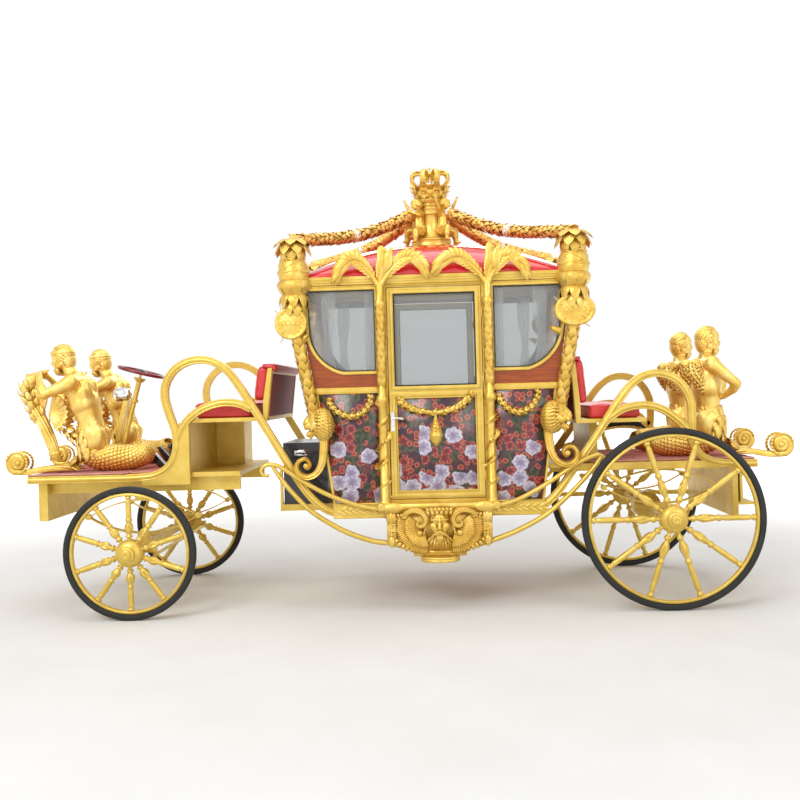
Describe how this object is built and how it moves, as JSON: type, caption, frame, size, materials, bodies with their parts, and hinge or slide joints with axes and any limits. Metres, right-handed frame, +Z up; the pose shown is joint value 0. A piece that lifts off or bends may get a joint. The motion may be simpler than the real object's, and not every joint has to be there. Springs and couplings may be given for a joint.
{
  "type": "gilded state carriage",
  "caption": "Gilded royal state carriage with glazed coach body, arched side frames, tritons, crown and its own steering.",
  "frame": {"origin": "on the ground under the middle of the whole length and width", "axes": "+X to the rear, +Y to the carriage's right side, +Z up"},
  "size_m": [6.1598, 1.908, 3.505],
  "materials": {
    "gold_paint": "satin",
    "gilded_carving": "metallic satin",
    "red_gloss": "gloss",
    "black_paint": "satin",
    "red_leather": "satin",
    "carpet": "matte",
    "wood": "varnished",
    "glass": "clear",
    "curtain": "sheer",
    "rubber": "matte",
    "chrome": "polished",
    "lamp_red": "gloss",
    "wheel_rim_red": "gloss",
    "steel": "satin"
  },
  "bodies": {
    "coach": {"main_frame_left": "gold_paint", "main_frame_right": "gold_paint", "platforms": "gold_paint", "chassis": "gold_paint", "leaf_springs": "steel", "front_axle": "steel", "rear_axle": "steel", "carpets": "carpet", "marker_lamps": "lamp_red", "steering_column": "gold_paint", "headlamp": "chrome", "pedals": "black_paint", "cabin_floor": "wood", "side_wall_left": "wood", "side_wall_right": "wood", "end_walls": "wood", "coach_glass": "glass", "cornice": "gold_paint", "roof": "red_gloss", "cabin_benches": "wood", "seat_frames": "gold_paint", "seat_cushions": "red_leather", "curtains": "curtain", "cabinet_tray": "gold_paint", "control_cabinet": "black_paint", "mask_steps": "gilded_carving", "body_straps": "gold_paint", "palm_columns": "gilded_carving", "corner_ornaments": "gilded_carving", "panel_swags": "gilded_carving", "roof_pedestal": "gilded_carving", "crown": "gilded_carving", "cherubs": "gilded_carving", "roof_garlands": "gilded_carving", "front_tritons": "gilded_carving", "rear_tritons": "gilded_carving", "scroll_arms": "gilded_carving"},
    "door_left": {"door_left": "gold_paint", "door_glass_left": "glass"},
    "door_right": {"door_right": "gold_paint", "door_glass_right": "glass"},
    "knuckle_left": {"knuckle_left": "steel"},
    "knuckle_right": {"knuckle_right": "steel"},
    "tie_rod": {"tie_rod": "steel"},
    "steering_wheel": {"steering_wheel": "wheel_rim_red"},
    "wheel_front_left": {"wheel_front_left": "gold_paint", "tyre_front_left": "rubber"},
    "wheel_front_right": {"wheel_front_right": "gold_paint", "tyre_front_right": "rubber"},
    "wheel_rear_left": {"wheel_rear_left": "gold_paint", "tyre_rear_left": "rubber"},
    "wheel_rear_right": {"wheel_rear_right": "gold_paint", "tyre_rear_right": "rubber"}
  },
  "joints": [
    {"name": "steer_left", "type": "hinge", "parent": "coach", "child": "knuckle_left", "pos_m": [-1.974, -0.74, 0.5], "axis": [0, 0, 1], "range_deg": [-25, 25]},
    {"name": "steer_right", "type": "hinge", "parent": "coach", "child": "knuckle_right", "pos_m": [-1.974, 0.74, 0.5], "axis": [0, 0, 1], "range_deg": [-25, 25]},
    {"name": "tie_rod_pivot", "type": "hinge", "parent": "knuckle_left", "child": "tie_rod", "pos_m": [-1.814, -0.74, 0.471], "axis": [0, 0, 1], "range_deg": [-25, 25]},
    {"name": "steering_wheel_turn", "type": "hinge", "parent": "coach", "child": "steering_wheel", "pos_m": [-2.078, -0.2, 1.79], "axis": [0.2676, 0, 0.9635], "range_deg": [-350, 350]},
    {"name": "door_left_hinge", "type": "hinge", "parent": "coach", "child": "door_left", "pos_m": [0.7, -0.675, 1.6], "axis": [0, 0, 1], "range_deg": [0, 85]},
    {"name": "door_right_hinge", "type": "hinge", "parent": "coach", "child": "door_right", "pos_m": [0.7, 0.675, 1.6], "axis": [0, 0, -1], "range_deg": [0, 85]},
    {"name": "spin_front_left", "type": "hinge", "parent": "knuckle_left", "child": "wheel_front_left", "pos_m": [-1.974, -0.85, 0.5], "axis": [0, 1, 0], "continuous": true},
    {"name": "spin_front_right", "type": "hinge", "parent": "knuckle_right", "child": "wheel_front_right", "pos_m": [-1.974, 0.85, 0.5], "axis": [0, 1, 0], "continuous": true},
    {"name": "spin_rear_left", "type": "hinge", "parent": "coach", "child": "wheel_rear_left", "pos_m": [2.045, -0.85, 0.668], "axis": [0, 1, 0], "continuous": true},
    {"name": "spin_rear_right", "type": "hinge", "parent": "coach", "child": "wheel_rear_right", "pos_m": [2.045, 0.85, 0.668], "axis": [0, 1, 0], "continuous": true}
  ],
  "couplings": [
    {"joint": "steer_right", "follows": "steer_left", "ratio": 1},
    {"joint": "tie_rod_pivot", "follows": "steer_left", "ratio": -1},
    {"joint": "steering_wheel_turn", "follows": "steer_left", "ratio": 14}
  ]
}
